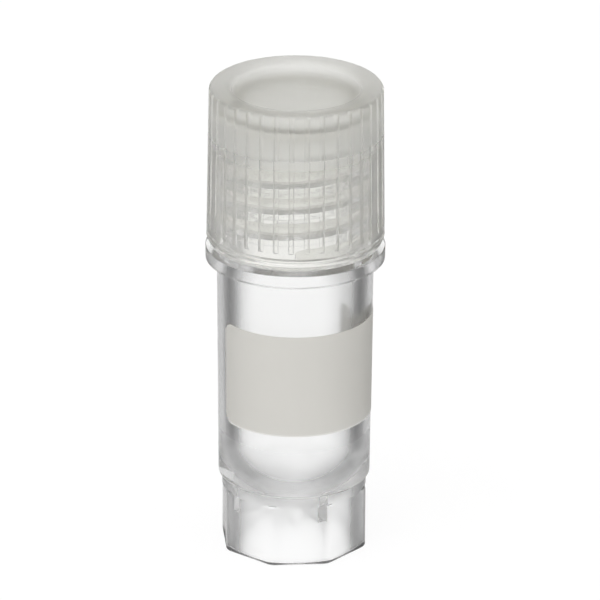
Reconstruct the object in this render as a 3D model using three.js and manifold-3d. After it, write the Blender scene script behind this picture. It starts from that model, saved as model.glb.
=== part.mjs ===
// Self-standing cryogenic vial: a one-piece tube on an eight-sided foot, with an
// outside thread, a ribbed screw cap and a ring gasket under the cap's roof.
// Millimetres, +Z up. The origin is the centre of the foot's lower face.

import * as THREE from "three";
import { mergeVertices } from "three/addons/utils/BufferGeometryUtils.js";
import Module from "manifold-3d";

const wasm = await Module();
wasm.setup();

// ---------------------------------------------------------------- driving dimensions

// Tube
const boreRadius = 4.6; // at the mouth
const boreDraft = 0.2; // radius that the bore loses from its mouth to its floor
const bodyWall = 1.72; // under the collar
const bodyDraft = 0.17; // radius that the outside loses from the collar to the foot
const bodyHeight = 19.65; // from the top of the foot to the collar
const neckWall = 0.75;
const neckHeight = 10.95; // from the collar to the rim
const neckRootEdge = 0.18; // where the neck leaves the collar
const rimEdge = 0.16;
const floorThickness = 1.5;
const floorDrop = 0.53; // how far the bore's floor lies below the top of the foot

// Collar
const collarProud = 0.06; // beyond the cap's lower edge
const collarHeight = 1.1;
const collarUnderEdge = 0.2; // rounding below
const collarUpperEdge = 0.06; // chamfer above

// Foot
const footHeight = 5.23;
const footSides = 8;
const footCornerRadius = 1;
const footEdge = 0.2; // chamfer round the standing face
const landHeight = 0.82; // plain band between the foot and the body's rounded shoulder
const landInset = 0.3;
const shoulderHeight = 0.3;
const facetInset = 0.18; // flats of the foot behind the band
const skirtWall = 0.87; // in the middle of a flat
const gussetCount = 4;
const gussetThickness = 0.7;
const gussetRise = 0.25; // lower edge of a gusset above the tube's round end
const gateRadius = 1.35;
const gateLength = 1.8;

// Thread
const pitch = 2.2;
const ridgeDepth = 0.55;
const ridgeBase = 1;
const ridgeCrest = 0.5;
const runOut = THREE.MathUtils.degToRad(50); // angle in which a ridge rises out of its wall
const threadReferenceAngle = THREE.MathUtils.degToRad(-95);
const threadReferenceRise = 2.47; // ridge centre above the collar at the reference angle
const vialThreadStart = 1.25; // ridge centre above the collar at its lower end
const vialThreadEnd = 1.3; // ridge centre below the rim at its upper end
const capThreadStart = 1.15; // ridge centre above the cap's mouth at its lower end
const capThreadEnd = 1.9; // ridge centre below the gasket's seat at its upper end

// Cap
const capWall = 1.08; // at the mouth, outside the thread's root
const capDraft = 0.19;
const capRoof = 1.2; // under the dished top
const dishDepth = 0.6;
const dishRim = 1.18; // flat ring round the dish
const dishSlope = 1.3; // width of the dish's sloping side
const capMouthBevel = 0.25;
const capMouthBevelHeight = 0.58;
const capTopEdge = 0.35;
const ribCount = 36;
const ribPhase = THREE.MathUtils.degToRad(2.25);
const grooveRadius = 0.24;
const grooveDepth = 0.17;
const grooveStart = 1.6; // lower end of the grooves above the cap's mouth

// Gasket
const gasketThickness = 0.8;
const gasketLip = 0.45; // beyond the neck, outside and inside

// Clearances
const threadClearance = 0.2; // between a crest and the root that faces it
const flankClearance = 0.25; // along the axis, between the ridges' bearing flanks
const seatGap = 0.37; // between the cap's mouth and the collar
const gasketClearance = 0.15; // round the gasket in its seat

// Fineness
const turnSegments = 60;
const roundEndSegments = 36;
const threadSegments = 24; // in one turn
const embed = 0.3; // how far joined solids reach into each other

// ---------------------------------------------------------------- dependent sizes

const bodyTopRadius = boreRadius + bodyWall;
const bodyFootRadius = bodyTopRadius - bodyDraft;
const landRadius = bodyFootRadius - landInset;
const footApothem = landRadius - facetInset;
const neckRadius = boreRadius + neckWall;
const vialCrestRadius = neckRadius + ridgeDepth;
const capRootRadius = vialCrestRadius + threadClearance;
const capCrestRadius = neckRadius + threadClearance;
const capMouthRadius = capRootRadius + capWall;
const capTopRadius = capMouthRadius - capDraft;
const collarRadius = capMouthRadius + collarProud;
const gasketOuterRadius = neckRadius + gasketLip;
const gasketInnerRadius = boreRadius - gasketLip;
const gasketSeatRadius = gasketOuterRadius + gasketClearance;

const boreFloor = footHeight - floorDrop;
const roundRadius = boreRadius - boreDraft;
const roundCentre = boreFloor + roundRadius;
const tubeEnd = boreFloor - floorThickness;
const gateTip = tubeEnd - gateLength;
const collarBottom = footHeight + bodyHeight;
const collarTop = collarBottom + collarHeight;
const rim = collarTop + neckHeight;
const capMouth = collarTop + seatGap;
const capCeiling = rim + gasketThickness;
const dishFloor = capCeiling + capRoof;
const capTop = dishFloor + dishDepth;

// ---------------------------------------------------------------- solids from geometries

// A closed three.js geometry as a manifold-3d solid.
function solid(geometry) {
  const bare = geometry.clone();
  bare.deleteAttribute("normal");
  bare.deleteAttribute("uv");
  const merged = mergeVertices(bare, 1e-5);
  return new wasm.Manifold(
    new wasm.Mesh({
      numProp: 3,
      vertProperties: new Float32Array(merged.attributes.position.array),
      triVerts: new Uint32Array(merged.index.array),
    }),
  );
}

// A manifold-3d solid as a named three.js mesh.
function meshOf(name, shape, look) {
  const { vertProperties, triVerts } = shape.getMesh();
  const geometry = new THREE.BufferGeometry();
  geometry.setAttribute("position", new THREE.BufferAttribute(vertProperties, 3));
  geometry.setIndex(new THREE.BufferAttribute(triVerts, 1));
  geometry.computeVertexNormals();
  const mesh = new THREE.Mesh(geometry, new THREE.MeshStandardMaterial(look));
  mesh.name = name;
  return mesh;
}

// A solid of revolution about Z. Its profile is [radius, height] points that run
// with the material on their left, from the axis to the axis or back to the start.
function turned(profile, segments = turnSegments) {
  const points = profile.map(([radius, height]) => new THREE.Vector2(radius, height));
  const geometry = new THREE.LatheGeometry(points, segments);
  geometry.rotateX(Math.PI / 2);
  return solid(geometry);
}

// Points on a quarter or other arc in the profile plane, both ends included.
function arc(centreRadius, centreHeight, radiusAcross, radiusUp, from, to, steps) {
  const points = [];
  for (let i = 0; i <= steps; i += 1) {
    const angle = from + ((to - from) * i) / steps;
    points.push([
      centreRadius + radiusAcross * Math.cos(angle),
      centreHeight + radiusUp * Math.sin(angle),
    ]);
  }
  return points;
}

// The outline of a regular polygon with rounded corners and a flat square to each axis.
function roundedPolygon(apothem, sides, cornerRadius) {
  const shape = new THREE.Shape();
  const half = Math.PI / sides;
  const reach = (apothem - cornerRadius) / Math.cos(half);
  for (let i = 0; i < sides; i += 1) {
    const corner = half + 2 * half * i;
    const x = reach * Math.cos(corner);
    const y = reach * Math.sin(corner);
    shape.absarc(x, y, cornerRadius, corner - half, corner + half, false);
  }
  shape.closePath();
  return shape;
}

// ---------------------------------------------------------------- thread

// Width of a ridge, along the axis, at a height above its root.
function ridgeWidth(height) {
  return ridgeBase - ((ridgeBase - ridgeCrest) * height) / ridgeDepth;
}

// Angle at which the vial's ridge centre reaches a height above the collar.
function threadAngle(rise) {
  return threadReferenceAngle + ((rise - threadReferenceRise) / pitch) * 2 * Math.PI;
}

// A right-hand helical ridge on a wall. Its section is a trapezium that stands on the
// root radius and reaches the crest radius, outwards or inwards, and both of its ends
// sink back into the wall. The drop lowers the whole ridge along the axis.
function helicalRidge(rootRadius, crestRadius, startAngle, endAngle, drop) {
  const outward = Math.sign(crestRadius - rootRadius);
  const buried = rootRadius - outward * embed;
  const steps = Math.ceil(((endAngle - startAngle) / (2 * Math.PI)) * threadSegments);
  const positions = [];
  for (let i = 0; i <= steps; i += 1) {
    const angle = startAngle + ((endAngle - startAngle) * i) / steps;
    const fromEnd = Math.min(angle - startAngle, endAngle - angle);
    const grown = THREE.MathUtils.smoothstep(fromEnd, 0, runOut);
    const height = -embed / 2 + (ridgeDepth + embed / 2) * grown;
    const crest = rootRadius + outward * height;
    const centre =
      collarTop + threadReferenceRise + ((angle - threadReferenceAngle) / (2 * Math.PI)) * pitch;
    const halfCrest = ridgeWidth(Math.max(height, 0)) / 2;
    const halfBuried = ridgeWidth(-embed) / 2;
    const section = [
      [buried, -halfBuried],
      [crest, -halfCrest],
      [crest, halfCrest],
      [buried, halfBuried],
    ];
    for (const [radius, offset] of section) {
      positions.push(radius * Math.cos(angle), radius * Math.sin(angle), centre - drop + offset);
    }
  }
  const corners = 4;
  const triangles = [];
  const face = (a, b, c) => triangles.push(...(outward > 0 ? [a, b, c] : [a, c, b]));
  for (let i = 0; i < steps; i += 1) {
    for (let k = 0; k < corners; k += 1) {
      const here = i * corners + k;
      const beside = i * corners + ((k + 1) % corners);
      face(here, here + corners, beside);
      face(beside, here + corners, beside + corners);
    }
  }
  const last = steps * corners;
  face(0, 1, 2);
  face(0, 2, 3);
  face(last, last + 2, last + 1);
  face(last, last + 3, last + 2);
  const geometry = new THREE.BufferGeometry();
  geometry.setAttribute("position", new THREE.Float32BufferAttribute(positions, 3));
  geometry.setIndex(triangles);
  return solid(geometry);
}

// ---------------------------------------------------------------- vial

// Outside of the tube, collar and neck. Below the band it is a plug in the foot.
function tubeForm() {
  const plugRadius = footApothem - skirtWall / 2;
  const shoulderTop = footHeight + landHeight + shoulderHeight;
  const lowEdge = collarUnderEdge;
  return turned([
    [0, footHeight - 2 * embed],
    [plugRadius, footHeight - 2 * embed],
    [landRadius, footHeight - footEdge / 2],
    ...arc(landRadius, shoulderTop, landInset, shoulderHeight, -Math.PI / 2, 0, 4),
    [bodyTopRadius, collarBottom],
    ...arc(collarRadius - lowEdge, collarBottom + lowEdge, lowEdge, lowEdge, -Math.PI / 2, 0, 3),
    [collarRadius, collarTop - collarUpperEdge],
    [collarRadius - collarUpperEdge, collarTop],
    [neckRadius + neckRootEdge, collarTop],
    [neckRadius, collarTop + neckRootEdge],
    [neckRadius, rim - rimEdge],
    [neckRadius - rimEdge, rim],
    [0, rim],
  ]);
}

// The bore: a round floor, a slight draft and a bevelled mouth.
function boreForm() {
  return turned([
    ...arc(0, roundCentre, roundRadius, roundRadius, -Math.PI / 2, 0, 8),
    [boreRadius, rim - rimEdge],
    [boreRadius + rimEdge + embed, rim + embed],
    [0, rim + embed],
  ]);
}

// The eight-sided foot before it is hollowed.
function footForm() {
  const outline = roundedPolygon(footApothem, footSides, footCornerRadius);
  const geometry = new THREE.ExtrudeGeometry(outline, {
    depth: footHeight - 2 * footEdge,
    bevelEnabled: true,
    bevelThickness: footEdge,
    bevelSize: footEdge,
    bevelOffset: -footEdge,
    bevelSegments: 1,
    curveSegments: 4,
  });
  geometry.translate(0, 0, footEdge);
  return solid(geometry);
}

// The round end of the tube with its gate, which hangs inside the skirt.
function roundEndForm() {
  const endRadius = roundCentre - tubeEnd;
  const gateStart = -Math.acos(gateRadius / endRadius);
  return turned(
    [
      ...arc(0, gateTip + gateRadius, gateRadius, gateRadius, -Math.PI / 2, 0, 4),
      ...arc(0, roundCentre, endRadius, endRadius, gateStart, 0, 8),
      [0, roundCentre],
    ],
    roundEndSegments,
  );
}

// The round hollow of the skirt, less the round end and the gussets.
function skirtHollow() {
  const room = turned(
    [
      [0, -embed],
      [footApothem - skirtWall, -embed],
      [footApothem - skirtWall, roundCentre],
      [0, roundCentre],
    ],
    roundEndSegments,
  );
  let hollow = room.subtract(roundEndForm());
  const gussetBottom = tubeEnd + gussetRise;
  const gussetHeight = roundCentre - gussetBottom + embed;
  for (let i = 0; i < gussetCount; i += 1) {
    const gusset = new THREE.BoxGeometry(footApothem, gussetThickness, gussetHeight);
    gusset.translate(footApothem / 2 + gateRadius / 2, 0, gussetBottom + gussetHeight / 2);
    gusset.rotateZ(Math.PI / footSides + (2 * Math.PI * i) / gussetCount);
    hollow = hollow.subtract(solid(gusset));
  }
  return hollow;
}

function vialBody() {
  const ridge = helicalRidge(
    neckRadius,
    vialCrestRadius,
    threadAngle(vialThreadStart),
    threadAngle(neckHeight - vialThreadEnd),
    0,
  );
  const shape = tubeForm().add(footForm()).add(ridge).subtract(boreForm()).subtract(skirtHollow());
  return meshOf("vial_body", shape, { color: 0xe4e6e4, roughness: 0.15, metalness: 0 });
}

// ---------------------------------------------------------------- cap and gasket

// The cap before its grooves are cut, with a lead-in at the mouth and a dished top.
function capForm() {
  const dishRadius = capTopRadius - dishRim;
  const dishFloorRadius = dishRadius - dishSlope;
  const halfSlope = dishSlope / 2;
  const halfDepth = dishDepth / 2;
  return turned([
    [0, capCeiling],
    [gasketSeatRadius, capCeiling],
    [gasketSeatRadius, rim],
    [capRootRadius, rim - embed],
    [capRootRadius, capMouth + capMouthBevel],
    [capRootRadius + capMouthBevel, capMouth],
    [capMouthRadius - capMouthBevel, capMouth],
    [capMouthRadius, capMouth + capMouthBevelHeight],
    ...arc(capTopRadius - capTopEdge, capTop - capTopEdge, capTopEdge, capTopEdge, 0, Math.PI / 2, 3),
    ...arc(dishRadius, capTop - halfDepth, halfSlope, halfDepth, Math.PI / 2, Math.PI, 3),
    ...arc(dishFloorRadius, dishFloor + halfDepth, halfSlope, halfDepth, 0, -Math.PI / 2, 3).slice(1),
    [0, dishFloor],
  ]);
}

// One grip groove: a round-ended slot that runs out of the cap's top and leans with its draft.
function grooveCutter(angle) {
  const lean = Math.atan(capDraft / (capTop - capMouth));
  const length = capTop - capMouth - grooveStart;
  const groove = new THREE.CapsuleGeometry(grooveRadius, length, 2, 8, 1);
  groove.rotateX(Math.PI / 2);
  groove.translate(0, 0, length / 2 + grooveRadius);
  groove.rotateY(-lean);
  groove.translate(capMouthRadius + grooveRadius - grooveDepth, 0, capMouth + grooveStart);
  groove.rotateZ(angle);
  return solid(groove);
}

function screwCap() {
  const drop = (ridgeWidth(0) + ridgeWidth(ridgeDepth + threadClearance)) / 2 + flankClearance;
  const start = threadAngle(seatGap + capThreadStart + drop);
  const end = threadAngle(neckHeight - capThreadEnd + drop);
  let shape = capForm().add(helicalRidge(capRootRadius, capCrestRadius, start, end, drop));
  for (let i = 0; i < ribCount; i += 1) {
    shape = shape.subtract(grooveCutter(ribPhase + (2 * Math.PI * i) / ribCount));
  }
  return meshOf("screw_cap", shape, { color: 0xd6d8ce, roughness: 0.4, metalness: 0 });
}

function capGasket() {
  const shape = turned([
    [gasketInnerRadius, rim],
    [gasketOuterRadius, rim],
    [gasketOuterRadius, capCeiling],
    [gasketInnerRadius, capCeiling],
    [gasketInnerRadius, rim],
  ]);
  return meshOf("cap_gasket", shape, { color: 0xe6e4de, roughness: 0.6, metalness: 0 });
}

// ---------------------------------------------------------------- the vial as closed

const cryovial = new THREE.Group();
const closure = new THREE.Group();
closure.add(capGasket(), screwCap());
cryovial.add(vialBody(), closure);

export default cryovial;
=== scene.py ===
"""Looks of a self-standing cryogenic vial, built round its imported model.

A clear moulded tube with an outside thread and an eight-sided foot, a frosted screw
cap with grip grooves, a soft sealing ring, and a bare marking panel on the tube.
Lengths are metres, Z is up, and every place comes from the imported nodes' boxes.
"""

import math

import bmesh
import bpy
from mathutils import Matrix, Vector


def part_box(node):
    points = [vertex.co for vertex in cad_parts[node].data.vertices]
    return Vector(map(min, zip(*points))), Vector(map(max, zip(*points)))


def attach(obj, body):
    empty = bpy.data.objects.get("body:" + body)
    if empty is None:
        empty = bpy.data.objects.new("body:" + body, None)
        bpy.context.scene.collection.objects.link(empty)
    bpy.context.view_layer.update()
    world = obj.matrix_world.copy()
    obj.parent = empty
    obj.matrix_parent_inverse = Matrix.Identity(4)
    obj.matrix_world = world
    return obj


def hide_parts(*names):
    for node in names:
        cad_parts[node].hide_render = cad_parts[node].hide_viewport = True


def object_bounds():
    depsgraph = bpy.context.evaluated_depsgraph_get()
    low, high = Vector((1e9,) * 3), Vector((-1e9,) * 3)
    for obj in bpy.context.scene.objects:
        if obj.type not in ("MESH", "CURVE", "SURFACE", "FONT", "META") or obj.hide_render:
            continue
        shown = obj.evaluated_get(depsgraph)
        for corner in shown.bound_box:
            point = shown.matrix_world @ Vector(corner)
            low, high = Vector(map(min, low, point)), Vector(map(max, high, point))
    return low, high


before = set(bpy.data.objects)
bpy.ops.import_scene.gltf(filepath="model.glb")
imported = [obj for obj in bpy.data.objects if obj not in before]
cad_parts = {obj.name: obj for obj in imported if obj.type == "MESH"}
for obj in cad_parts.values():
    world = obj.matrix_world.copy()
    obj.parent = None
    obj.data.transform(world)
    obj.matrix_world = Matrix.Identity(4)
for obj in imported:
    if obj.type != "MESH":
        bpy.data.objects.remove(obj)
cad_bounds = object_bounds()

# ------------------------------------------------------------------ sizes from the frame

MM = 0.001
TAU = 2 * math.pi

_, vial_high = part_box("vial_body")
cap_low, cap_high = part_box("screw_cap")
_, ring_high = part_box("cap_gasket")

RIM = vial_high.z
COLLAR_RADIUS = vial_high.x
CAP_MOUTH = cap_low.z
CAP_TOP = cap_high.z
CAP_MOUTH_RADIUS = cap_high.x
RING_RADIUS = ring_high.x
CAP_CEILING = ring_high.z

# Tube
BORE_RADIUS = 4.6 * MM
BORE_DRAFT = 0.2 * MM
BODY_TOP_RADIUS = 6.32 * MM
BODY_FOOT_RADIUS = 6.15 * MM
NECK_RADIUS = 5.35 * MM
NECK_ROOT_EDGE = 0.18 * MM
RIM_EDGE = 0.16 * MM
FLOOR_THICKNESS = 1.5 * MM
FLOOR_DROP = 0.53 * MM

# Collar
SEAT_GAP = 0.37 * MM
COLLAR_HEIGHT = 1.1 * MM
COLLAR_UNDER_EDGE = 0.1 * MM
COLLAR_UPPER_EDGE = 0.06 * MM
COLLAR_TOP = CAP_MOUTH - SEAT_GAP
COLLAR_BOTTOM = COLLAR_TOP - COLLAR_HEIGHT
# How the body flares into the collar's underside: out and up from the corner between them
COLLAR_FLARE = ((0, -0.12 * MM), (0.03 * MM, -0.03 * MM), (0.12 * MM, 0))

# Foot
FOOT_HEIGHT = 5.23 * MM
FOOT_SIDES = 8
FOOT_APOTHEM = 5.67 * MM
FOOT_CORNER = 1.0 * MM
FOOT_EDGE = 0.2 * MM
LAND_HEIGHT = 0.82 * MM
LAND_RADIUS = 5.85 * MM
SHOULDER_HEIGHT = 0.3 * MM
SKIRT_WALL = 0.87 * MM
SKIRT_EDGE = 0.1 * MM
GUSSETS = 4
GUSSET_THICKNESS = 0.7 * MM
GUSSET_RISE = 0.25 * MM
GATE_RADIUS = 1.35 * MM
GATE_LENGTH = 1.8 * MM

# Thread
PITCH = 2.2 * MM
RIDGE_DEPTH = 0.55 * MM
RIDGE_BASE = 1.0 * MM
RIDGE_CREST = 0.5 * MM
RUN_OUT = math.radians(50)
CREST_ROUNDING = 0.35
SUNK_SHARE = 0.1  # how deep a ridge's edges lie in the wall, as a share of its core's depth
END_TURN = 0.001  # radians from a ridge's end that close it
WELD_REACH = 0.001 * MM
THREAD_REFERENCE_ANGLE = math.radians(-95)
THREAD_REFERENCE_RISE = 2.47 * MM
VIAL_THREAD_START = 1.25 * MM
VIAL_THREAD_END = 1.3 * MM
CAP_THREAD_START = 1.15 * MM
CAP_THREAD_END = 1.9 * MM
THREAD_CLEARANCE = 0.2 * MM
FLANK_CLEARANCE = 0.25 * MM
CAP_ROOT_RADIUS = NECK_RADIUS + RIDGE_DEPTH + THREAD_CLEARANCE

# Cap
CAP_DRAFT = 0.19 * MM
CAP_TOP_RADIUS = CAP_MOUTH_RADIUS - CAP_DRAFT
CAP_TOP_EDGE = 0.35 * MM
CAP_MOUTH_BEVEL = 0.25 * MM
CAP_MOUTH_BEVEL_HEIGHT = 0.58 * MM
CAP_MOUTH_LIP_OUT = 0.0375 * MM
CAP_MOUTH_LIP_UP = 0.04 * MM
CAP_LINES = (0.7 * MM, 1.02 * MM)
CAP_LINE_WIDTH = 0.2 * MM
CAP_LINE_DEPTH = 0.1 * MM
DISH_DEPTH = 0.6 * MM
DISH_RIM = 1.18 * MM
DISH_SLOPE = 1.3 * MM
GROOVES = 36
GROOVE_PHASE = math.radians(2.25)
GROOVE_HALF_WIDTH = 0.23 * MM
GROOVE_DEPTH = 0.17 * MM
GROOVE_START = 1.53 * MM
GROOVE_END_LENGTH = 0.24 * MM
# Columns over a groove, in half widths from its middle, and over a land, in shares of its half
GROOVE_COLUMNS = (-1.15, -1, -0.9, -0.7, -0.4, 0, 0.4, 0.7, 0.9, 1, 1.15)
LAND_COLUMNS = (0.35, 1.0, 1.65)

# Sealing ring
RING_BORE = BORE_RADIUS - 0.45 * MM
RING_EDGE = 0.06 * MM
RING_SEAT = RING_RADIUS + 0.15 * MM

# Marking panel: where it starts and ends round the tube, from +X, and along it
PANEL_FROM = math.radians(-157)
PANEL_TO = math.radians(33)
PANEL_LOW = 11.62 * MM
PANEL_HIGH = 20.34 * MM
PANEL_CORNER = 0.9 * MM
PANEL_THICKNESS = 0.03 * MM
PANEL_BOND = 0.01 * MM

# Fineness: columns round the axis, steps in a rounding or a turn, and rows up a wall
TUBE_COLUMNS = 192
RING_COLUMNS = 96
PANEL_COLUMNS = 96
FLOOR_COLUMNS = 96
CORNER_STEPS = 10
ROUND_STEPS = 6
BALL_STEPS = 24
GATE_STEPS = 12
SHOULDER_STEPS = 10
NECK_EDGE_STEPS = 5
COLLAR_EDGE_STEPS = 4
CAP_EDGE_STEPS = 8
GROOVE_END_ROWS = 8
CAP_WALL_ROWS = 6
THREAD_STEPS = 96
SECTION_STEPS = 14
SHARP = math.radians(28)

EMBED = 0.3 * MM  # how far solids reach into each other before they are joined or cut

BORE_FLOOR = FOOT_HEIGHT - FLOOR_DROP
ROUND_RADIUS = BORE_RADIUS - BORE_DRAFT
ROUND_CENTRE = BORE_FLOOR + ROUND_RADIUS
TUBE_END = BORE_FLOOR - FLOOR_THICKNESS
SHOULDER_TOP = FOOT_HEIGHT + LAND_HEIGHT + SHOULDER_HEIGHT
GATE_TIP = TUBE_END - GATE_LENGTH


# ------------------------------------------------------------------ meshes


def piece_of(name, form):
    """A bmesh as a new object with smooth faces."""
    mesh = bpy.data.meshes.new(name)
    bmesh.ops.recalc_face_normals(form, faces=form.faces)
    for face in form.faces:
        face.smooth = True
    form.to_mesh(mesh)
    form.free()
    piece = bpy.data.objects.new(name, mesh)
    bpy.context.scene.collection.objects.link(piece)
    return piece


def join_rings(form, rings):
    """Skins neighbouring rings of points. A ring of one point is a pole."""
    for low, high in zip(rings, rings[1:]):
        count = max(len(low), len(high))
        for i in range(count):
            j = (i + 1) % count
            below = [low[i % len(low)], low[j % len(low)]]
            above = [high[j % len(high)], high[i % len(high)]]
            form.faces.new(list(dict.fromkeys(below + above)))


def even_angles(count):
    """Equal steps round the axis."""
    return [TAU * i / count for i in range(count)]


def turned(name, profile, angles):
    """A solid of revolution about Z. Its profile is (radius, height) points, from the axis
    to the axis, or a loop that is closed here."""
    form = bmesh.new()
    rings = []
    for radius, height in profile:
        if radius == 0:
            rings.append([form.verts.new((0, 0, height))])
            continue
        points = [(radius * math.cos(a), radius * math.sin(a), height) for a in angles]
        rings.append([form.verts.new(p) for p in points])
    if profile[0][0] != 0:
        rings.append(rings[0])
    join_rings(form, rings)
    return piece_of(name, form)


def arc(centre_radius, centre_height, across, up, start, end, steps=ROUND_STEPS):
    """Points on an arc in the profile plane, with both of its ends."""
    points = []
    for i in range(steps + 1):
        angle = math.radians(start + (end - start) * i / steps)
        radius = centre_radius + across * math.cos(angle)
        points.append((radius, centre_height + up * math.sin(angle)))
    return points


def rounded_polygon(apothem, corner):
    """Points round a polygon of the foot's kind, with a flat square to each axis."""
    half = math.pi / FOOT_SIDES
    reach = (apothem - corner) / math.cos(half)
    points = []
    for i in range(FOOT_SIDES):
        middle = half + 2 * half * i
        for k in range(CORNER_STEPS + 1):
            angle = middle - half + 2 * half * k / CORNER_STEPS
            points.append((
                reach * math.cos(middle) + corner * math.cos(angle),
                reach * math.sin(middle) + corner * math.sin(angle),
            ))
    return points


def polygon_prism(name, levels):
    """A prism of the foot's kind, closed at both ends. Levels are (apothem, corner, height)."""
    form = bmesh.new()
    rings = []
    for apothem, corner, height in levels:
        rings.append([form.verts.new((x, y, height)) for x, y in rounded_polygon(apothem, corner)])
    join_rings(form, rings)
    form.faces.new(rings[0])
    form.faces.new(rings[-1])
    return piece_of(name, form)


def settle(piece):
    """Makes what the modifiers show the piece's own mesh, and removes them."""
    graph = bpy.context.evaluated_depsgraph_get()
    mesh = bpy.data.meshes.new_from_object(piece.evaluated_get(graph))
    piece.modifiers.clear()
    piece.data = mesh
    return piece


def combined(piece, other, operation):
    """Joins another solid to a piece, or cuts it out, and uses the other one up."""
    modifier = piece.modifiers.new(operation, "BOOLEAN")
    modifier.operation = operation
    modifier.solver = "MANIFOLD"
    modifier.object = other
    settle(piece)
    bpy.data.objects.remove(other)
    return piece


def finished(piece, material, body, slot, *nodes):
    """Smooths a piece between its sharp edges, gives it its material and hands it to the frame."""
    piece.data.materials.clear()
    piece.data.materials.append(material)
    piece.data.polygons.foreach_set("material_index", [0] * len(piece.data.polygons))
    piece.data.polygons.foreach_set("use_smooth", [True] * len(piece.data.polygons))
    piece.data.set_sharp_from_angle(angle=SHARP)
    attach(piece, body)
    if nodes:
        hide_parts(*nodes)
    return piece


# ------------------------------------------------------------------ node trees


class Field:
    """A number in a node tree. Arithmetic on it adds Math nodes to the tree."""

    def __init__(self, tree, socket):
        self.tree = tree
        self.socket = socket

    def __add__(self, other):
        return calculated(self.tree, "ADD", self, other)

    def __sub__(self, other):
        return calculated(self.tree, "SUBTRACT", self, other)

    def __rsub__(self, other):
        return calculated(self.tree, "SUBTRACT", other, self)

    def __mul__(self, other):
        return calculated(self.tree, "MULTIPLY", self, other)

    def __truediv__(self, other):
        return calculated(self.tree, "DIVIDE", self, other)

    def __rtruediv__(self, other):
        return calculated(self.tree, "DIVIDE", other, self)

    def apply(self, operation, *others):
        return calculated(self.tree, operation, self, *others)


def feed(tree, value, slot):
    """Links a field or socket to an input, or writes a plain number there."""
    if isinstance(value, Field):
        tree.links.new(value.socket, slot)
    elif isinstance(value, bpy.types.NodeSocket):
        tree.links.new(value, slot)
    else:
        slot.default_value = value


def calculated(tree, operation, *values):
    """A Math node's result as a field."""
    node = tree.nodes.new("ShaderNodeMath")
    node.operation = operation
    for value, slot in zip(values, node.inputs):
        feed(tree, value, slot)
    return Field(tree, node.outputs[0])


def eased(tree, value, low, high, to_low=0.0, to_high=1.0, smooth=True):
    """A value brought from one range to another, held at both ends."""
    node = tree.nodes.new("ShaderNodeMapRange")
    node.interpolation_type = "SMOOTHSTEP" if smooth else "LINEAR"
    given = {"Value": value, "From Min": low, "From Max": high, "To Min": to_low, "To Max": to_high}
    for title, number in given.items():
        feed(tree, number, node.inputs[title])
    return Field(tree, node.outputs["Result"])


def coordinates(tree, place):
    """The three coordinates of a place, as fields."""
    parts = tree.nodes.new("ShaderNodeSeparateXYZ")
    feed(tree, place, parts.inputs[0])
    return [Field(tree, socket) for socket in parts.outputs]


def vector(tree, x=0.0, y=0.0, z=0.0):
    """Three numbers or fields as one vector."""
    node = tree.nodes.new("ShaderNodeCombineXYZ")
    for value, slot in zip((x, y, z), node.inputs):
        feed(tree, value, slot)
    return node.outputs[0]


def new_tree(name, counts, sizes):
    """A Geometry Nodes tree that takes a shape, counts, sizes and a material by name."""
    tree = bpy.data.node_groups.new(name, "GeometryNodeTree")
    kinds = [("Geometry", "NodeSocketGeometry")]
    kinds += [(title, "NodeSocketInt") for title in counts]
    kinds += [(title, "NodeSocketFloat") for title in sizes]
    kinds += [("Material", "NodeSocketMaterial")]
    for title, kind in kinds:
        tree.interface.new_socket(title, in_out="INPUT", socket_type=kind)
    tree.interface.new_socket("Geometry", in_out="OUTPUT", socket_type="NodeSocketGeometry")
    given = tree.nodes.new("NodeGroupInput")
    fields = {title: Field(tree, given.outputs[title]) for title in [*counts, *sizes]}
    return tree, given, fields


def end_tree(tree, given, shape):
    """Closes a tree with real geometry and its material."""
    real = tree.nodes.new("GeometryNodeRealizeInstances")
    painted = tree.nodes.new("GeometryNodeSetMaterial")
    result = tree.nodes.new("NodeGroupOutput")
    feed(tree, shape, real.inputs[0])
    feed(tree, real.outputs[0], painted.inputs["Geometry"])
    feed(tree, given.outputs["Material"], painted.inputs["Material"])
    feed(tree, painted.outputs[0], result.inputs[0])


def grown(piece, tree, material, **values):
    """Runs a tree on a piece with named values, and keeps the result as its mesh."""
    modifier = piece.modifiers.new(tree.name, "NODES")
    modifier.node_group = tree
    values["Material"] = material
    for item in tree.interface.items_tree:
        title = item.name.replace(" ", "_")
        if item.in_out == "INPUT" and title in values:
            modifier[item.identifier] = values[title]
    return settle(piece)


def polar(tree):
    """Radius, angle and height of each point about the Z axis."""
    place = tree.nodes.new("GeometryNodeInputPosition")
    x, y, z = coordinates(tree, place.outputs[0])
    return (x * x + y * y).apply("SQRT"), calculated(tree, "ARCTAN2", y, x), z


def moved_to(tree, shape, radius, angle, height):
    """Sets every point of a shape to a radius, angle and height about Z."""
    place = vector(tree, radius * angle.apply("COSINE"), radius * angle.apply("SINE"), height)
    move = tree.nodes.new("GeometryNodeSetPosition")
    feed(tree, shape, move.inputs["Geometry"])
    feed(tree, place, move.inputs["Position"])
    return move.outputs[0]


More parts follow.
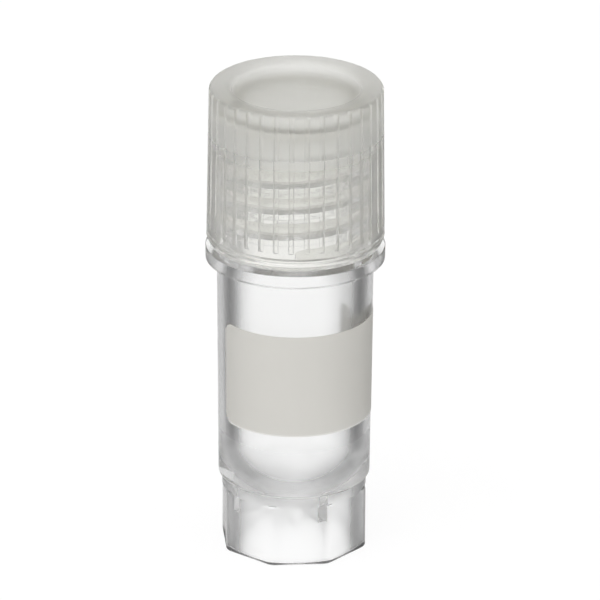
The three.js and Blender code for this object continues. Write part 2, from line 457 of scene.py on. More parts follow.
def ridge_tree():
    """A right-hand helical ridge with rounded crests, whose ends sink into the wall.

    A flat grid is wound up: its length runs along the helix, and its width goes once
    round the section, from a core in the wall over the ridge and back to the core.
    """
    tree, given, size = new_tree(
        "helical ridge",
        ["Steps", "Section Steps"],
        ["Root Radius", "Crest Radius", "Start Angle", "Start Height", "Turns", "Pitch",
         "Base Width", "Crest Width", "Run Out", "Bury"],
    )
    grid = tree.nodes.new("GeometryNodeMeshGrid")
    feed(tree, 1.0, grid.inputs["Size X"])
    feed(tree, 1.0, grid.inputs["Size Y"])
    feed(tree, size["Steps"] + 1, grid.inputs["Vertices X"])
    feed(tree, size["Section Steps"] + 1, grid.inputs["Vertices Y"])
    place = tree.nodes.new("GeometryNodeInputPosition")
    from_centre, around, _ = coordinates(tree, place.outputs[0])
    along = from_centre + 0.5

    turned_by = along * size["Turns"] * TAU
    to_end = (1 - along) * size["Turns"] * TAU
    from_end = turned_by.apply("MINIMUM", to_end)
    growth = eased(tree, from_end, 0.0, size["Run Out"])

    # across runs from -1 to 1 over the ridge, and the first and last points are the core
    widened = size["Section Steps"] / (size["Section Steps"] - 2)
    across = (around * 2 * widened).apply("MAXIMUM", -1.0).apply("MINIMUM", 1.0)
    in_core = around.apply("ABSOLUTE").apply("GREATER_THAN", 0.5 - 0.5 / size["Section Steps"])
    at_end = from_end.apply("LESS_THAN", END_TURN)
    core = in_core.apply("MAXIMUM", at_end)

    crest_share = size["Crest Width"] / size["Base Width"]
    flank = (1 - across.apply("ABSOLUTE")) / (1 - crest_share)
    rounded = calculated(tree, "SMOOTH_MIN", flank, 1.0, CREST_ROUNDING)
    sunk = size["Bury"] * SUNK_SHARE
    depth = size["Crest Radius"] - size["Root Radius"]
    outward = depth.apply("SIGN")
    height = (depth.apply("ABSOLUTE") + sunk) * rounded * growth - sunk
    raised = height * (1 - core) - size["Bury"] * core
    radius = size["Root Radius"] + outward * raised
    offset = across * size["Base Width"] * 0.5 * (1 - core)
    angle = size["Start Angle"] + turned_by
    level = size["Start Height"] + along * size["Turns"] * size["Pitch"] + offset

    wound = moved_to(tree, grid.outputs["Mesh"], radius, angle, level)
    merge = tree.nodes.new("GeometryNodeMergeByDistance")
    feed(tree, wound, merge.inputs["Geometry"])
    feed(tree, WELD_REACH, merge.inputs["Distance"])
    end_tree(tree, given, merge.outputs[0])
    return tree


def groove_tree():
    """Round-bottomed grip grooves pressed into an upright wall, equally spaced round it.

    They end in a rounded run-out above the mouth, and run out through the top edge.
    """
    tree, given, size = new_tree(
        "grip grooves",
        ["Grooves"],
        ["Wall Radius", "Wall Height", "Mouth Height", "Draft", "Phase", "Half Width", "Depth",
         "Start Height", "End Length"],
    )
    radius, angle, height = polar(tree)
    step = calculated(tree, "DIVIDE", TAU, size["Grooves"])
    turn = (angle - size["Phase"]) / step
    from_middle = (turn - turn.apply("ROUND")).apply("ABSOLUTE") * step * size["Wall Radius"]
    share = (from_middle / size["Half Width"]).apply("MINIMUM", 1.0)
    hollow = (1 - share * share).apply("SQRT")
    climb = eased(tree, height - size["Start Height"], 0.0, size["End Length"], smooth=False)
    run_out = (1 - (1 - climb) * (1 - climb)).apply("SQRT")
    above_mouth = height - size["Mouth Height"]
    wall = size["Wall Radius"] - size["Draft"] * above_mouth / size["Wall Height"]
    floor = wall - size["Depth"] * hollow * run_out
    pressed = radius.apply("MINIMUM", floor)
    end_tree(tree, given, moved_to(tree, given.outputs["Geometry"], pressed, angle, height))
    return tree


def gusset_tree():
    """Upright plates, equally spaced round the axis, each from the middle outwards."""
    tree, given, size = new_tree(
        "gussets", ["Gussets"], ["Reach", "Thickness", "Low", "High", "Phase"]
    )
    circle = tree.nodes.new("GeometryNodeMeshCircle")
    feed(tree, size["Gussets"], circle.inputs["Vertices"])
    feed(tree, size["Reach"] * 0.5, circle.inputs["Radius"])
    plate = tree.nodes.new("GeometryNodeMeshCube")
    extent = vector(tree, size["Reach"], size["Thickness"], size["High"] - size["Low"])
    feed(tree, extent, plate.inputs["Size"])
    index = Field(tree, tree.nodes.new("GeometryNodeInputIndex").outputs[0])
    copies = tree.nodes.new("GeometryNodeInstanceOnPoints")
    feed(tree, circle.outputs[0], copies.inputs["Points"])
    feed(tree, plate.outputs[0], copies.inputs["Instance"])
    feed(tree, vector(tree, z=index * TAU / size["Gussets"]), copies.inputs["Rotation"])
    place = tree.nodes.new("GeometryNodeTransform")
    feed(tree, copies.outputs[0], place.inputs["Geometry"])
    feed(tree, vector(tree, z=(size["High"] + size["Low"]) * 0.5), place.inputs["Translation"])
    feed(tree, vector(tree, z=size["Phase"]), place.inputs["Rotation"])
    end_tree(tree, given, place.outputs[0])
    return tree


def empty_piece(name):
    """An object without points, for a tree that makes its own."""
    return piece_of(name, bmesh.new())


# ------------------------------------------------------------------ thread ridges


def ridge_width(height):
    """Width of a ridge along the axis, at a height above its root."""
    return RIDGE_BASE - (RIDGE_BASE - RIDGE_CREST) * height / RIDGE_DEPTH


def thread_angle(rise):
    """Angle at which the tube's ridge reaches a height above the collar."""
    return THREAD_REFERENCE_ANGLE + (rise - THREAD_REFERENCE_RISE) / PITCH * TAU


def helical_ridge(name, tree, material, root, crest, start, end, drop):
    """A ridge from one rise above the collar to another, lowered by a drop along the axis."""
    turns = (end - start) / PITCH
    return grown(
        empty_piece(name), tree, material,
        Steps=math.ceil(turns * THREAD_STEPS),
        Section_Steps=SECTION_STEPS,
        Root_Radius=root,
        Crest_Radius=crest,
        Start_Angle=thread_angle(start + drop),
        Start_Height=COLLAR_TOP + start,
        Turns=turns,
        Pitch=PITCH,
        Base_Width=RIDGE_BASE,
        Crest_Width=RIDGE_CREST,
        Run_Out=RUN_OUT,
        Bury=EMBED,
    )


# ------------------------------------------------------------------ the tube


def tube_outside():
    """Tube, collar and neck as one solid, with a plug that reaches into the foot."""
    low = COLLAR_UNDER_EDGE
    high = COLLAR_UPPER_EDGE
    root = NECK_ROOT_EDGE
    rim = RIM_EDGE
    inset = BODY_FOOT_RADIUS - LAND_RADIUS
    return turned(
        "vial",
        [
            (0, FOOT_HEIGHT - 2 * EMBED),
            (FOOT_APOTHEM - SKIRT_WALL / 2, FOOT_HEIGHT - 2 * EMBED),
            (LAND_RADIUS, FOOT_HEIGHT - FOOT_EDGE / 2),
            *arc(LAND_RADIUS, SHOULDER_TOP, inset, SHOULDER_HEIGHT, -90, 0, SHOULDER_STEPS),
            *[(BODY_TOP_RADIUS + out, COLLAR_BOTTOM + up) for out, up in COLLAR_FLARE],
            *arc(COLLAR_RADIUS - low, COLLAR_BOTTOM + low, low, low, -90, 0),
            *arc(COLLAR_RADIUS - high, COLLAR_TOP - high, high, high, 0, 90, COLLAR_EDGE_STEPS),
            *arc(NECK_RADIUS + root, COLLAR_TOP + root, root, root, 270, 180, NECK_EDGE_STEPS),
            *arc(NECK_RADIUS - rim, RIM - rim, rim, rim, 0, 90, NECK_EDGE_STEPS),
            (0, RIM),
        ],
        even_angles(TUBE_COLUMNS),
    )


def tube_bore():
    """The bore as a solid: a round floor, a slight draft and a rounded mouth."""
    rim = RIM_EDGE
    return turned(
        "bore",
        [
            (0, BORE_FLOOR),
            *arc(0, ROUND_CENTRE, ROUND_RADIUS, ROUND_RADIUS, -90, 0, BALL_STEPS)[1:],
            *arc(BORE_RADIUS + rim, RIM - rim, rim, rim, 180, 90, NECK_EDGE_STEPS),
            (BORE_RADIUS + rim, RIM + EMBED),
            (0, RIM + EMBED),
        ],
        even_angles(TUBE_COLUMNS),
    )


def foot_block():
    """The eight-sided foot before it is hollowed, with rounded edges at both ends."""
    edge = FOOT_EDGE
    levels = []
    for k in range(ROUND_STEPS + 1):
        angle = math.pi / 2 * k / ROUND_STEPS
        inset = edge * (1 - math.sin(angle))
        levels.append((FOOT_APOTHEM - inset, FOOT_CORNER - inset, edge * (1 - math.cos(angle))))
    upper = [(flat, corner, FOOT_HEIGHT - height) for flat, corner, height in reversed(levels)]
    return polygon_prism("foot", levels + upper)


def round_end():
    """The tube's round end and its gate, which hang inside the skirt."""
    radius = ROUND_CENTRE - TUBE_END
    meeting = math.degrees(math.acos(GATE_RADIUS / radius))
    return turned(
        "round_end",
        [
            (0, GATE_TIP),
            *arc(0, GATE_TIP + GATE_RADIUS, GATE_RADIUS, GATE_RADIUS, -90, 0, GATE_STEPS)[1:],
            *arc(0, ROUND_CENTRE, radius, radius, -meeting, 0, BALL_STEPS),
            (0, ROUND_CENTRE),
        ],
        even_angles(TUBE_COLUMNS),
    )


def skirt_hollow(tree, material):
    """The round hollow under the tube, less the tube's round end and the gussets."""
    radius = FOOT_APOTHEM - SKIRT_WALL
    edge = SKIRT_EDGE
    hollow = turned(
        "hollow",
        [
            (0, -EMBED),
            (radius + edge, -EMBED),
            *arc(radius + edge, edge, edge, edge, 270, 180),
            (radius, ROUND_CENTRE),
            (0, ROUND_CENTRE),
        ],
        even_angles(TUBE_COLUMNS),
    )
    combined(hollow, round_end(), "DIFFERENCE")
    plates = grown(
        empty_piece("gussets"), tree, material,
        Gussets=GUSSETS,
        Reach=FOOT_APOTHEM + FOOT_CORNER / 4,
        Thickness=GUSSET_THICKNESS,
        Low=TUBE_END + GUSSET_RISE,
        High=ROUND_CENTRE + EMBED,
        Phase=math.pi / FOOT_SIDES,
    )
    return combined(hollow, plates, "DIFFERENCE")


def vial(trees, material):
    """The whole moulded vial as one closed surface."""
    piece = tube_outside()
    combined(piece, foot_block(), "UNION")
    ridge = helical_ridge(
        "vial_ridge", trees["ridge"], material,
        NECK_RADIUS, NECK_RADIUS + RIDGE_DEPTH,
        VIAL_THREAD_START, RIM - COLLAR_TOP - VIAL_THREAD_END, 0,
    )
    combined(piece, ridge, "UNION")
    combined(piece, tube_bore(), "DIFFERENCE")
    combined(piece, skirt_hollow(trees["gusset"], material), "DIFFERENCE")
    piece.name = "clear_vial"
    return finished(piece, material, "vial", "vial_plastic", "vial_body")


# ------------------------------------------------------------------ the cap


def cap_angles():
    """Columns round the cap, close together across each groove and wide on each land."""
    step = TAU / GROOVES
    half = GROOVE_HALF_WIDTH / CAP_MOUTH_RADIUS
    groove_edge = GROOVE_COLUMNS[-1]
    half_land = step / 2 / half - groove_edge
    marks = [*GROOVE_COLUMNS, *[groove_edge + half_land * share for share in LAND_COLUMNS]]
    return [GROOVE_PHASE + step * i + half * mark for i in range(GROOVES) for mark in marks]


def cap_profile():
    """The cap's section, from the middle of its ceiling round to the middle of its dish."""
    mouth = CAP_MOUTH
    bevel = CAP_MOUTH_BEVEL
    edge = CAP_TOP_EDGE
    groove_low = mouth + GROOVE_START
    dish_radius = CAP_TOP_RADIUS - DISH_RIM
    dish_floor = CAP_TOP - DISH_DEPTH
    floor_radius = dish_radius - DISH_SLOPE
    half_slope = DISH_SLOPE / 2
    half_depth = DISH_DEPTH / 2
    wall = CAP_TOP - mouth
    groove_full = groove_low + GROOVE_END_LENGTH
    above_full = CAP_TOP - edge - groove_full
    upright = [
        *[groove_low + GROOVE_END_LENGTH * k / GROOVE_END_ROWS for k in range(GROOVE_END_ROWS)],
        *[groove_full + above_full * k / CAP_WALL_ROWS for k in range(CAP_WALL_ROWS)],
    ]

    def outside(height):
        return CAP_MOUTH_RADIUS - CAP_DRAFT * (height - mouth) / wall

    def fine_line(height):
        half = CAP_LINE_WIDTH / 2
        return [
            (outside(height - half), height - half),
            (outside(height) - CAP_LINE_DEPTH, height),
            (outside(height + half), height + half),
        ]

    return [
        (0, CAP_CEILING),
        (RING_SEAT, CAP_CEILING),
        (RING_SEAT, RIM),
        (CAP_ROOT_RADIUS, RIM - EMBED),
        (CAP_ROOT_RADIUS, mouth + bevel),
        (CAP_ROOT_RADIUS + bevel, mouth),
        (CAP_MOUTH_RADIUS - bevel, mouth),
        (CAP_MOUTH_RADIUS - bevel + CAP_MOUTH_LIP_OUT, mouth + CAP_MOUTH_LIP_UP),
        (outside(mouth + CAP_MOUTH_BEVEL_HEIGHT), mouth + CAP_MOUTH_BEVEL_HEIGHT),
        *[point for rise in CAP_LINES for point in fine_line(mouth + rise)],
        *[(outside(height), height) for height in upright],
        *arc(CAP_TOP_RADIUS - edge, CAP_TOP - edge, edge, edge, 0, 90, CAP_EDGE_STEPS),
        *arc(dish_radius, CAP_TOP - half_depth, half_slope, half_depth, 90, 180, CAP_EDGE_STEPS),
        *arc(
            floor_radius, dish_floor + half_depth, half_slope, half_depth, 0, -90, CAP_EDGE_STEPS
        )[1:],
        (0, dish_floor),
    ]


def cap(trees, material):
    """The screw cap with its grip grooves and its inside thread."""
    piece = turned("cap", cap_profile(), cap_angles())
    grown(
        piece, trees["groove"], material,
        Grooves=GROOVES,
        Wall_Radius=CAP_MOUTH_RADIUS,
        Wall_Height=CAP_TOP - CAP_MOUTH,
        Mouth_Height=CAP_MOUTH,
        Draft=CAP_DRAFT,
        Phase=GROOVE_PHASE,
        Half_Width=GROOVE_HALF_WIDTH,
        Depth=GROOVE_DEPTH,
        Start_Height=CAP_MOUTH + GROOVE_START,
        End_Length=GROOVE_END_LENGTH,
    )
    drop = (ridge_width(0) + ridge_width(RIDGE_DEPTH + THREAD_CLEARANCE)) / 2 + FLANK_CLEARANCE
    ridge = helical_ridge(
        "cap_ridge", trees["ridge"], material,
        CAP_ROOT_RADIUS, CAP_ROOT_RADIUS - RIDGE_DEPTH,
        SEAT_GAP + CAP_THREAD_START, RIM - COLLAR_TOP - CAP_THREAD_END, drop,
    )
    combined(piece, ridge, "UNION")
    piece.name = "ribbed_cap"
    return finished(piece, material, "cap", "cap_plastic", "screw_cap")


# ------------------------------------------------------------------ sealing ring and panel


def sealing_ring(material):
    """The flat ring that the cap presses on the tube's rim, with soft edges."""
    edge = RING_EDGE
    piece = turned(
        "sealing_ring",
        [
            *arc(RING_BORE + edge, RIM + edge, edge, edge, 180, 270),
            *arc(RING_RADIUS - edge, RIM + edge, edge, edge, 270, 360),
            *arc(RING_RADIUS - edge, CAP_CEILING - edge, edge, edge, 0, 90),
            *arc(RING_BORE + edge, CAP_CEILING - edge, edge, edge, 90, 180),
        ],
        even_angles(RING_COLUMNS),
    )
    return finished(piece, material, "gasket", "gasket", "cap_gasket")


def body_radius(height):
    """Outside radius of the tube's drafted body."""
    share = (height - SHOULDER_TOP) / (COLLAR_BOTTOM - SHOULDER_TOP)
    return BODY_FOOT_RADIUS + (BODY_TOP_RADIUS - BODY_FOOT_RADIUS) * share


def marking_panel(material):
    """A thin printed field with round corners, wrapped round the front of the tube."""
    rows = []
    for k in range(CORNER_STEPS + 1):
        angle = math.pi / 2 * k / CORNER_STEPS
        rows.append((PANEL_CORNER * (1 - math.sin(angle)), PANEL_CORNER * (1 - math.cos(angle))))
    levels = [(PANEL_LOW + rise, inset) for inset, rise in rows]
    levels += [(PANEL_HIGH - rise, inset) for inset, rise in reversed(rows)]
    form = bmesh.new()
    grid = []
    for height, inset in levels:
        radius = body_radius(height) - PANEL_BOND
        margin = inset / radius
        start = PANEL_FROM + margin
        span = PANEL_TO - margin - start
        line = []
        for i in range(PANEL_COLUMNS + 1):
            angle = start + span * i / PANEL_COLUMNS
            point = (radius * math.cos(angle), radius * math.sin(angle), height)
            line.append(form.verts.new(point))
        grid.append(line)
    for low, high in zip(grid, grid[1:]):
        for i in range(PANEL_COLUMNS):
            form.faces.new([low[i], low[i + 1], high[i + 1], high[i]])
    piece = piece_of("marking_panel", form)
    if piece.data.polygons[0].normal.dot(piece.data.polygons[0].center) < 0:
        piece.data.flip_normals()
    thick = piece.modifiers.new("thickness", "SOLIDIFY")
    thick.thickness = PANEL_THICKNESS + PANEL_BOND
    thick.offset = 1
    settle(piece)
    return finished(piece, material, "vial", "marking_ink")


# ------------------------------------------------------------------ materials

# Faces of the clear vial nearer its axis than the first are its bore, past the second its outside
INNER_FACES = 4.95 * MM
OUTER_FACES = 5.05 * MM
POLYPROPYLENE_IOR = 1.49
SILICONE_IOR = 1.41
# Noise values that stand for the least and the most of a grain
GRAIN_LOW = 0.3
GRAIN_HIGH = 0.7

# Clear plastic
CLEAR_COLOURS = (0.998, 0.998, 0.998), (0.988, 0.99, 0.988)
CLEAR_SHADOW = (0.9, 0.9, 0.9)
CLEAR_TRANSMISSION = 0.975
CLEAR_GLOSS = (0.04, 0.1)
CLEAR_HAZE = 0.04
WAVE_HEIGHT = 0.02 * MM
WAVE_STRETCH = (1, 1, 0.35)
FLOOR_DULLNESS = 0.4
WALL_DULLNESS = 0.16
FLOOR_ENDS = 8.0 * MM
WALL_BEGINS = 11.0 * MM
NECK_SHARE = 0.3
NECK_BLEND = 1.0 * MM

# Frosted plastic
FROSTED_COLOURS = (0.925, 0.922, 0.898), (0.90, 0.897, 0.872)
FROSTED_SHADOW = (0.85, 0.85, 0.83)
FROSTED_TRANSMISSION = 0.87
CAP_INNER_SKIN = 0.9 * MM
CAP_OUTER_SKIN = 0.6 * MM
FROST_BEGINS = RIM - 4.5 * MM
FROST_FULL = RIM + 1.6 * MM
FROST_OUTSIDE = 0.42
FROST_ADDED_INSIDE = 0.35
TOP_SATIN = 0.7
TOP_SATIN_BEGINS = CAP_TOP - 0.25 * MM
TOP_SATIN_FULL = CAP_TOP - 0.05 * MM
FROSTED_HAZE = 0.04
FROSTED_GLOSS = 0.02
FROSTED_RELIEF = 0.0015 * MM

# Silicone
SILICONE_COLOURS = (0.84, 0.835, 0.81), (0.80, 0.795, 0.77)
SILICONE_TRANSMISSION = 0.4
SILICONE_SATIN = (0.5, 0.62)
SILICONE_RELIEF = 0.004 * MM

# Panel ink
INK_COLOURS = (0.765, 0.75, 0.705), (0.735, 0.722, 0.68)
INK_EDGE_COLOUR = (0.92, 0.91, 0.88)
INK_EDGE_FULL = PANEL_LOW + 0.08 * MM
INK_EDGE_ENDS = PANEL_LOW + 0.16 * MM
INK_TRANSMISSION = 0.48
INK_SATIN = (0.3, 0.4)
INK_RELIEF = 0.002 * MM


def new_material(name):
    """A material with a Principled shader, and its parts."""
    material = bpy.data.materials.new(name)
    material.use_nodes = True
    tree = material.node_tree
    shader = next(n for n in tree.nodes if n.type == "BSDF_PRINCIPLED")
    output = next(n for n in tree.nodes if n.type == "OUTPUT_MATERIAL")
    return material, tree, shader, output


def noise(tree, scale, detail=2.0, stretch=(1, 1, 1)):
    """Noise on the piece's own place, at a number of cells a metre."""
    place = tree.nodes.new("ShaderNodeTexCoord")
    mapping = tree.nodes.new("ShaderNodeMapping")
    mapping.inputs["Scale"].default_value = stretch
    texture = tree.nodes.new("ShaderNodeTexNoise")
    texture.inputs["Scale"].default_value = scale
    texture.inputs["Detail"].default_value = detail
    feed(tree, place.outputs["Object"], mapping.inputs["Vector"])
    feed(tree, mapping.outputs["Vector"], texture.inputs["Vector"])
    return Field(tree, texture.outputs["Fac"])


def own_place(tree):
    """A point's three coordinates on its own piece."""
    return coordinates(tree, tree.nodes.new("ShaderNodeTexCoord").outputs["Object"])


def distance_from_axis(tree):
    """How far a point of the piece lies from its Z axis."""
    x, y, _ = own_place(tree)
    return (x * x + y * y).apply("SQRT")


def height_of(tree):
    """How high a point of the piece lies."""
    return own_place(tree)[2]


def grained(tree, grain, least, most):
    """A number that wanders between two others with a grain."""
    return eased(tree, grain, GRAIN_LOW, GRAIN_HIGH, least, most)


def bump(tree, shader, relief, distance):
    """A fine surface relief, in metres."""
    node = tree.nodes.new("ShaderNodeBump")
    node.inputs["Distance"].default_value = distance
    feed(tree, relief, node.inputs["Height"])
    feed(tree, node.outputs["Normal"], shader.inputs["Normal"])


def blended(tree, share, first, second):
    """A colour from a first to a second one. The first may be a socket."""
    node = tree.nodes.new("ShaderNodeMix")
    node.data_type = "RGBA"
    feed(tree, share, node.inputs["Factor"])
    feed(tree, first if isinstance(first, bpy.types.NodeSocket) else (*first, 1), node.inputs["A"])
    feed(tree, (*second, 1), node.inputs["B"])
    return node.outputs["Result"]


def show_both(tree, output, share, first, second):
    """Shows a first shader and a share of a second one."""
    mix = tree.nodes.new("ShaderNodeMixShader")
    feed(tree, share, mix.inputs["Fac"])
    feed(tree, first.outputs[0], mix.inputs[1])
    feed(tree, second.outputs[0], mix.inputs[2])
    feed(tree, mix.outputs[0], output.inputs["Surface"])


def lets_lamps_through(tree, shader, output, tint):
    """Clear plastic throws a faint shadow: a ray from a lamp passes through it, tinted."""
    path = tree.nodes.new("ShaderNodeLightPath")
    clear = tree.nodes.new("ShaderNodeBsdfTransparent")
    clear.inputs["Color"].default_value = (*tint, 1)
    show_both(tree, output, path.outputs["Is Shadow Ray"], shader, clear)


def clear_plastic():
    """Clear polypropylene: glossy outside, with moulding waves, and duller in the bore's floor."""
    material, tree, shader, output = new_material("clear_polypropylene")
    haze = noise(tree, 420.0, 3.0)
    feed(tree, blended(tree, haze, *CLEAR_COLOURS), shader.inputs["Base Color"])
    outside = eased(tree, distance_from_axis(tree), INNER_FACES, OUTER_FACES, smooth=False)
    height = height_of(tree)
    bore = eased(tree, height, FLOOR_ENDS, WALL_BEGINS, FLOOR_DULLNESS, WALL_DULLNESS)
    neck = eased(tree, height, COLLAR_BOTTOM - NECK_BLEND, COLLAR_TOP, 1.0, NECK_SHARE)
    inner = bore * neck + haze * CLEAR_HAZE
    outer = grained(tree, haze, *CLEAR_GLOSS)
    feed(tree, inner * (1 - outside) + outer * outside, shader.inputs["Roughness"])
    shader.inputs["Transmission Weight"].default_value = CLEAR_TRANSMISSION
    shader.inputs["IOR"].default_value = POLYPROPYLENE_IOR
    bump(tree, shader, noise(tree, 140.0, 1.0, WAVE_STRETCH), WAVE_HEIGHT)
    lets_lamps_through(tree, shader, output, CLEAR_SHADOW)
    return material


def frosted_plastic():
    """Natural polypropylene: milky grey and see-through, more frosted above the tube's rim."""
    material, tree, shader, output = new_material("natural_polypropylene")
    cloud = noise(tree, 260.0, 3.0)
    feed(tree, blended(tree, cloud, *FROSTED_COLOURS), shader.inputs["Base Color"])
    radius, height = distance_from_axis(tree), height_of(tree)
    innermost, outermost = CAP_TOP_RADIUS - CAP_INNER_SKIN, CAP_TOP_RADIUS - CAP_OUTER_SKIN
    inside = 1 - eased(tree, radius, innermost, outermost)
    frost = inside * FROST_ADDED_INSIDE + FROST_OUTSIDE
    upper = eased(tree, height, FROST_BEGINS, FROST_FULL) * frost
    top = eased(tree, height, TOP_SATIN_BEGINS, TOP_SATIN_FULL, 0.0, TOP_SATIN)
    satin = upper.apply("MAXIMUM", top)
    feed(tree, satin + cloud * FROSTED_HAZE + FROSTED_GLOSS, shader.inputs["Roughness"])
    shader.inputs["Transmission Weight"].default_value = FROSTED_TRANSMISSION
    shader.inputs["IOR"].default_value = POLYPROPYLENE_IOR
    bump(tree, shader, noise(tree, 2600.0), FROSTED_RELIEF)
    lets_lamps_through(tree, shader, output, FROSTED_SHADOW)
    return material


def ring_silicone():
    """Matt off-white silicone."""
    material, tree, shader, _ = new_material("ring_silicone")
    cloud = noise(tree, 500.0)
    feed(tree, blended(tree, cloud, *SILICONE_COLOURS), shader.inputs["Base Color"])
    feed(tree, grained(tree, cloud, *SILICONE_SATIN), shader.inputs["Roughness"])
    shader.inputs["Transmission Weight"].default_value = SILICONE_TRANSMISSION
    shader.inputs["IOR"].default_value = SILICONE_IOR
    bump(tree, shader, noise(tree, 3000.0), SILICONE_RELIEF)
    return material


def panel_ink():
    """Warm grey satin ink with a fine grain, paler along its lower edge."""
    material, tree, shader, _ = new_material("panel_ink")
    cloud = noise(tree, 180.0, 3.0)
    grain = noise(tree, 9000.0)
    ink = blended(tree, cloud, *INK_COLOURS)
    # Paler along the lower edge: the ink's colour blends to a pale one in a narrow band there
    thin = eased(tree, height_of(tree), INK_EDGE_FULL, INK_EDGE_ENDS, 1.0, 0.0)
    feed(tree, blended(tree, thin, ink, INK_EDGE_COLOUR), shader.inputs["Base Color"])
    feed(tree, grained(tree, grain, *INK_SATIN), shader.inputs["Roughness"])
    shader.inputs["Transmission Weight"].default_value = INK_TRANSMISSION
    bump(tree, shader, grain, INK_RELIEF)
    return material


# ------------------------------------------------------------------ studio

VIEW_AZIMUTH = math.radians(-5.1)
VIEW_ELEVATION = math.radians(22.8)
VIEW_ROLL = math.radians(0.37)
VIEW_DISTANCE = 0.613
VIEW_WIDTH = 48.4 * MM
SENSOR_WIDTH = 36.0
NEAREST = 0.01
AIM_HEIGHT = 20.98 * MM
AIM_ASIDE = 0.4 * MM

# Brightness by heading, in degrees from straight behind the object, positive to the right
BACKDROP = (
    (-180, 0.5), (-55, 0.5), (-40, 0.6), (-27, 0.8), (-20, 0.92), (-13, 1.0),
    (4, 1.0), (10, 0.88), (14, 0.76), (20, 0.64), (34, 0.54), (55, 0.48), (180, 0.5),
)
SOFT_PANELS = (
    (-180, 0.75), (-90, 0.75), (-62, 0.45), (-48, 0.2), (-38, 0.1), (-30, 0.14), (-23, 0.28),
    (-14, 0.5), (-8, 0.85), (8, 0.8), (14, 0.42), (23, 0.24), (30, 0.12), (38, 0.06),
    (50, 0.15), (62, 0.42), (90, 0.75), (180, 0.75),
)
# Headings are counted from a point this far in front of the axis, and a place no farther to the
# side than the second lies straight behind
HEADING_REACH = 6 * MM
TUBE_REACH = 4 * MM
ROOM_LEVEL = 0.9

# Floor: its share of paint, which keeps the shadow, and a painted contact shade, a dark ring in its
# glow where the foot stands
FLOOR_RADIUS = 1.2
FLOOR_COLOUR = (0.9, 0.9, 0.9)
FLOOR_ROUGHNESS = 0.9
FLOOR_PAINT = 0.2
CONTACT_SHADE = 0.85
CONTACT_INNER = (4.4 * MM, 4.9 * MM)
CONTACT_OUTER = (5.8 * MM, 6.4 * MM)

# Name, azimuth and elevation in degrees, distance and width in metres, and watts
LAMPS = (
    ("key_light", -40, 50, 0.7, 0.6, 2.4),
    ("fill_light", 60, 35, 0.8, 0.6, 0.9),
)
RAY_BOUNCES = 32
GLOSSY_BOUNCES = 16


def by_heading(tree, heading, levels):
    """A level that follows a heading between given ones."""
    ramp = tree.nodes.new("ShaderNodeValToRGB")
    feed(tree, heading / TAU + 0.5, ramp.inputs[0])
    stops = ramp.color_ramp.elements
    for stop in list(stops)[1:]:
        stops.remove(stop)
    first = levels[0][1]
    stops[0].color = (first, first, first, 1)
    for degrees, level in levels[1:]:
        stops.new(degrees / 360 + 0.5).color = (level, level, level, 1)
    return Field(tree, ramp.outputs["Color"])


def studio_level(tree, place):
    """How bright the studio looks in a direction, and whether a ray is there to light a surface.

    Seen straight it is white. Through clear walls it is a white backdrop behind the object that
    fades to both sides. A mirrored ray sees soft panels with dark gaps between them, and a ray
    that lights a surface finds an even level.
    """
    x, y, _ = coordinates(tree, place)
    behind = y * math.cos(VIEW_AZIMUTH) - x * math.sin(VIEW_AZIMUTH) + HEADING_REACH
    aside = x * math.cos(VIEW_AZIMUTH) + y * math.sin(VIEW_AZIMUTH)
    beyond = (aside.apply("ABSOLUTE") - TUBE_REACH).apply("MAXIMUM", 0.0) * aside.apply("SIGN")
    heading = calculated(tree, "ARCTAN2", beyond, behind)
    panels = by_heading(tree, heading, SOFT_PANELS)
    backdrop = by_heading(tree, heading, BACKDROP)
    path = tree.nodes.new("ShaderNodeLightPath")
    lighting = Field(tree, path.outputs["Is Diffuse Ray"])
    camera = Field(tree, path.outputs["Is Camera Ray"])
    mirrored = Field(tree, path.outputs["Glossy Depth"]).apply("GREATER_THAN", 0.5)
    through = backdrop.apply("MAXIMUM", camera)
    seen = mirrored * panels + (1 - mirrored) * through
    return lighting * ROOM_LEVEL + (1 - lighting) * seen, lighting, camera


def studio_world():
    """A pale room that the clear plastic shows."""
    world = bpy.data.worlds.new("studio")
    bpy.context.scene.world = world
    world.use_nodes = True
    tree = world.node_tree
    background = next(n for n in tree.nodes if n.type == "BACKGROUND")
    place = tree.nodes.new("ShaderNodeTexCoord")
    level, _, _ = studio_level(tree, place.outputs["Generated"])
    feed(tree, level, background.inputs["Strength"])
    background.inputs["Color"].default_value = (1, 1, 1, 1)


def studio_floor():
    """A wide white floor. It glows as the room does, and its painted share keeps a soft shadow. Its
    glow carries a painted contact shade in a ring under the foot.
    """
    form = bmesh.new()
    bmesh.ops.create_circle(form, cap_ends=True, radius=FLOOR_RADIUS, segments=FLOOR_COLUMNS)
    floor = piece_of("floor", form)
    material, tree, shader, output = new_material("floor_white")
    shader.inputs["Base Color"].default_value = (*FLOOR_COLOUR, 1)
    shader.inputs["Roughness"].default_value = FLOOR_ROUGHNESS
    shader.inputs["Specular IOR Level"].default_value = 0.0
    place = tree.nodes.new("ShaderNodeTexCoord")
    level, lighting, camera = studio_level(tree, place.outputs["Object"])
    radius = distance_from_axis(tree)
    # Painted contact shade: rays that reach the floor through the plastic see its glow dimmed in a
    # ring under the foot's wall
    under = eased(tree, radius, *CONTACT_INNER) * eased(tree, radius, *CONTACT_OUTER, 1.0, 0.0)
    glow = tree.nodes.new("ShaderNodeEmission")
    feed(tree, level * (1 - under * (1 - camera) * CONTACT_SHADE), glow.inputs["Strength"])
    show_both(tree, output, (1 - lighting) * (1 - camera * FLOOR_PAINT), shader, glow)
    floor.data.materials.append(material)


def direction(azimuth, elevation):
    """The unit vector from the object towards an azimuth, counted from -Y, and an elevation."""
    level = math.cos(elevation)
    return (math.sin(azimuth) * level, -math.cos(azimuth) * level, math.sin(elevation))


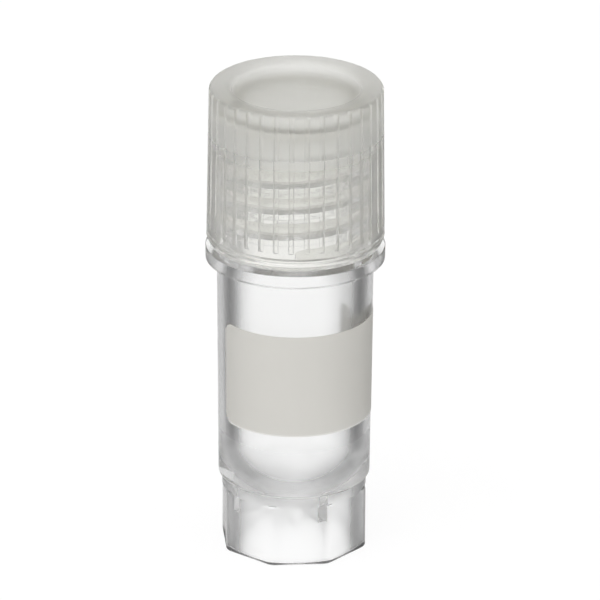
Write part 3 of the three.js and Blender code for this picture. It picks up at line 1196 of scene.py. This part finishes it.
def soft_lamp(name, azimuth, elevation, distance, size, watts):
    """A square soft light that faces the object."""
    light = bpy.data.lights.new(name, "AREA")
    light.shape = "SQUARE"
    light.size = size
    light.energy = watts
    lamp = bpy.data.objects.new(name, light)
    bpy.context.scene.collection.objects.link(lamp)
    away = direction(math.radians(azimuth), math.radians(elevation))
    aim = (cad_bounds[0][2] + cad_bounds[1][2]) / 2
    lamp.location = [distance * away[0], distance * away[1], distance * away[2] + aim]
    lamp.rotation_euler = (math.pi / 2 - math.radians(elevation), 0, math.radians(azimuth))


def studio_camera():
    """A long lens at the object's three-quarter view from above."""
    data = bpy.data.cameras.new("camera")
    data.sensor_width = SENSOR_WIDTH
    data.lens = SENSOR_WIDTH * VIEW_DISTANCE / VIEW_WIDTH
    data.clip_start = NEAREST
    camera = bpy.data.objects.new("camera", data)
    bpy.context.scene.collection.objects.link(camera)
    away = direction(VIEW_AZIMUTH, VIEW_ELEVATION)
    right = (math.cos(VIEW_AZIMUTH), math.sin(VIEW_AZIMUTH), 0)
    camera.location = [VIEW_DISTANCE * away[k] + AIM_ASIDE * right[k] for k in range(3)]
    camera.location.z += AIM_HEIGHT
    raised = Matrix.Rotation(math.pi / 2 - VIEW_ELEVATION, 3, "X")
    rolled = raised @ Matrix.Rotation(VIEW_ROLL, 3, "Z")
    camera.rotation_euler = (Matrix.Rotation(VIEW_AZIMUTH, 3, "Z") @ rolled).to_euler()
    bpy.context.scene.camera = camera


def render_settings():
    """A plain view transform, and enough light bounces for walls behind walls."""
    scene = bpy.context.scene
    scene.view_settings.view_transform = "Standard"
    scene.cycles.max_bounces = RAY_BOUNCES
    scene.cycles.transmission_bounces = RAY_BOUNCES
    scene.cycles.transparent_max_bounces = RAY_BOUNCES
    scene.cycles.glossy_bounces = GLOSSY_BOUNCES


# ------------------------------------------------------------------ everything


def main():
    """Makes the vial's pieces and the studio round them."""
    clear = clear_plastic()
    frosted = frosted_plastic()
    trees = {"ridge": ridge_tree(), "groove": groove_tree(), "gusset": gusset_tree()}
    vial(trees, clear)
    cap(trees, frosted)
    sealing_ring(ring_silicone())
    marking_panel(panel_ink())
    studio_world()
    studio_floor()
    for lamp in LAMPS:
        soft_lamp(*lamp)
    studio_camera()
    render_settings()


main()
